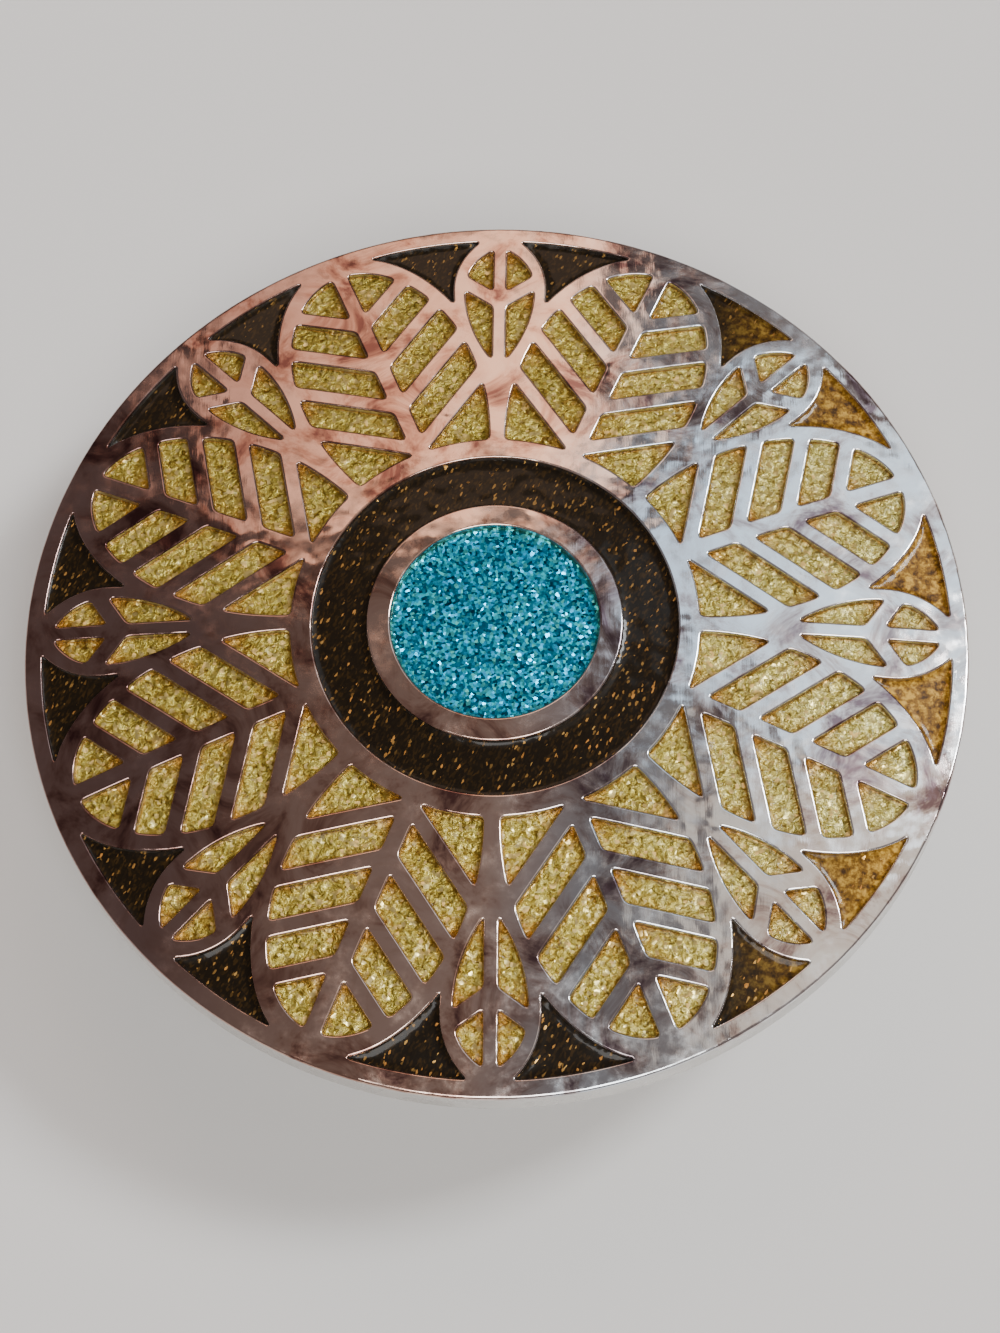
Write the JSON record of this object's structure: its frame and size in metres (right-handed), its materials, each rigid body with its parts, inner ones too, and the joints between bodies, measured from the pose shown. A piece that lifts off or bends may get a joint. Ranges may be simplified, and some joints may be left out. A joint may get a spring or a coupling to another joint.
{
  "type": "enamel pin",
  "caption": "Domed round enamel pin with a raised metal mandala of leaves over glittering enamel cells, and posts and butterfly clutches behind.",
  "frame": {"origin": "on the disc's axis, level with the lowest edges of the clutches' wings", "axes": "+Z out of the face, +Y along one small leaf, +X through the two posts"},
  "size_m": [0.0382, 0.0382, 0.0098],
  "materials": {
    "plated_face": "polished nickel plate, lightly smudged",
    "gold_enamel": "pearl over a crinkled ground",
    "amber_enamel": "dark translucent amber glitter",
    "teal_enamel": "dense teal glitter",
    "post_metal": "nickel plated",
    "solder": "dull solder",
    "clutch_metal": "nickel plated sheet",
    "spring_wire": "drawn wire"
  },
  "bodies": {
    "pin": {"struck_plate": "plated_face", "centre_enamel": "teal_enamel", "dark_ring_enamel": "amber_enamel", "large_leaf_enamel_1": "gold_enamel", "large_leaf_enamel_2": "gold_enamel", "large_leaf_enamel_3": "gold_enamel", "large_leaf_enamel_4": "gold_enamel", "large_leaf_enamel_5": "gold_enamel", "large_leaf_enamel_6": "gold_enamel", "large_leaf_enamel_7": "gold_enamel", "large_leaf_enamel_8": "gold_enamel", "small_leaf_enamel_1": "gold_enamel", "small_leaf_enamel_2": "gold_enamel", "small_leaf_enamel_3": "gold_enamel", "small_leaf_enamel_4": "gold_enamel", "small_leaf_enamel_5": "gold_enamel", "small_leaf_enamel_6": "gold_enamel", "small_leaf_enamel_7": "gold_enamel", "small_leaf_enamel_8": "gold_enamel", "root_enamel_1": "gold_enamel", "root_enamel_2": "gold_enamel", "root_enamel_3": "gold_enamel", "root_enamel_4": "gold_enamel", "root_enamel_5": "gold_enamel", "root_enamel_6": "gold_enamel", "root_enamel_7": "gold_enamel", "root_enamel_8": "gold_enamel", "rim_corner_enamel_1": "amber_enamel", "rim_corner_enamel_2": "amber_enamel", "rim_corner_enamel_3": "amber_enamel", "rim_corner_enamel_4": "amber_enamel", "rim_corner_enamel_5": "amber_enamel", "rim_corner_enamel_6": "amber_enamel", "rim_corner_enamel_7": "amber_enamel", "rim_corner_enamel_8": "amber_enamel", "left_post": "post_metal", "left_solder": "solder", "right_post": "post_metal", "right_solder": "solder"},
    "left_clutch": {"left_clutch_cap": "clutch_metal", "left_clutch_drum": "clutch_metal", "left_clutch_spring": "spring_wire"},
    "left_wing_upper": {"left_clutch_wing_upper": "clutch_metal"},
    "left_wing_lower": {"left_clutch_wing_lower": "clutch_metal"},
    "right_clutch": {"right_clutch_cap": "clutch_metal", "right_clutch_drum": "clutch_metal", "right_clutch_spring": "spring_wire"},
    "right_wing_upper": {"right_clutch_wing_upper": "clutch_metal"},
    "right_wing_lower": {"right_clutch_wing_lower": "clutch_metal"}
  },
  "joints": [
    {"name": "left_clutch_slide", "type": "slide", "parent": "pin", "child": "left_clutch", "axis": [0, 0, -1], "range_m": [0, 0.0085]},
    {"name": "left_wing_upper_squeeze", "type": "hinge", "parent": "left_clutch", "child": "left_wing_upper", "pos_m": [-0.0095, 0.003, 0.00425], "axis": [-1, 0, 0], "range_deg": [0, 10], "stiffness_Nm_per_rad": 0.01},
    {"name": "left_wing_lower_squeeze", "type": "hinge", "parent": "left_clutch", "child": "left_wing_lower", "pos_m": [-0.0095, -0.003, 0.00425], "axis": [1, 0, 0], "range_deg": [0, 10], "stiffness_Nm_per_rad": 0.01},
    {"name": "right_clutch_slide", "type": "slide", "parent": "pin", "child": "right_clutch", "axis": [0, 0, -1], "range_m": [0, 0.0085]},
    {"name": "right_wing_upper_squeeze", "type": "hinge", "parent": "right_clutch", "child": "right_wing_upper", "pos_m": [0.0095, 0.003, 0.00425], "axis": [-1, 0, 0], "range_deg": [0, 10], "stiffness_Nm_per_rad": 0.01},
    {"name": "right_wing_lower_squeeze", "type": "hinge", "parent": "right_clutch", "child": "right_wing_lower", "pos_m": [0.0095, -0.003, 0.00425], "axis": [1, 0, 0], "range_deg": [0, 10], "stiffness_Nm_per_rad": 0.01}
  ]
}
